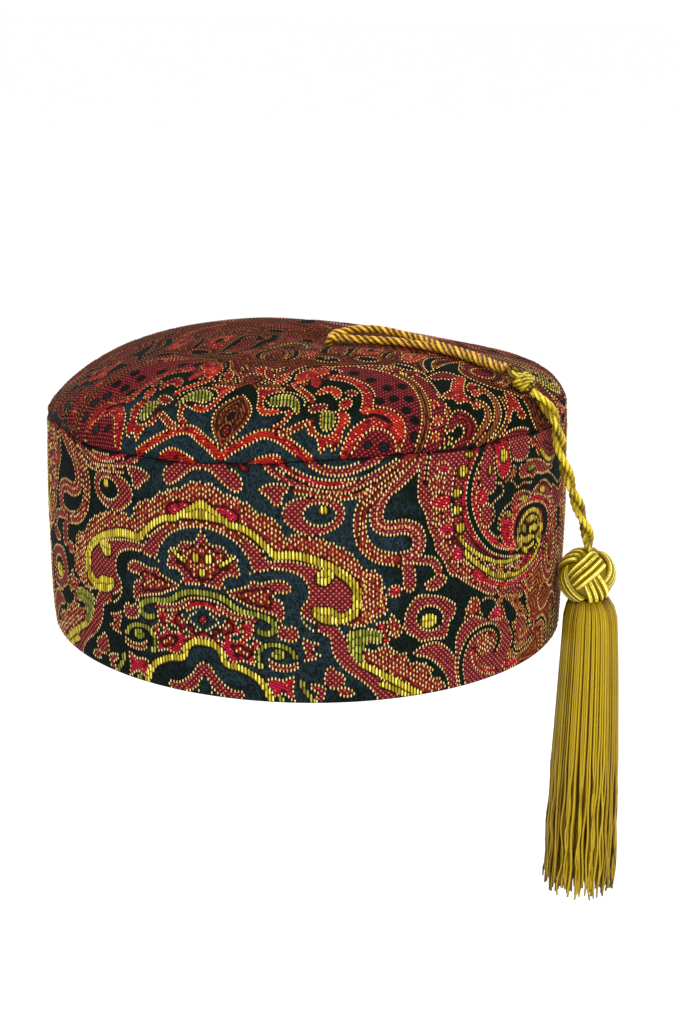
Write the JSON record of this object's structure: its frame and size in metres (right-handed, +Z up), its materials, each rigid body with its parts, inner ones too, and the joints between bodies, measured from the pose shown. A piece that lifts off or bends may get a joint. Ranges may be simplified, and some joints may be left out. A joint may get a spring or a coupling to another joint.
{
  "type": "smoking cap",
  "caption": "Round soft smoking cap of woven paisley cloth with a puffed crown, gold cord and a hanging tassel.",
  "frame": {"origin": "middle of the rim, in the rim's plane, where a head goes in", "axes": "+Z up out of the crown, -Y the cap's front, +X the side on which the tassel hangs"},
  "size_m": [0.2122, 0.194, 0.2057],
  "materials": {
    "band_cloth": "woven brocade, dark ground with crimson and gold figures",
    "crown_cloth": "woven brocade, dark ground with crimson and gold figures",
    "gold_cord": "satin laid cord",
    "ball_thread": "satin plaited thread",
    "skirt_thread": "satin fringe thread"
  },
  "bodies": {
    "root": {"side_band": "band_cloth", "crown": "crown_cloth", "crown_cord_back": "gold_cord", "crown_cord_front": "gold_cord", "cord_knot": "gold_cord", "hanging_cord": "gold_cord", "tassel_knot": "ball_thread", "tassel_skirt": "skirt_thread"}
  },
  "joints": []
}
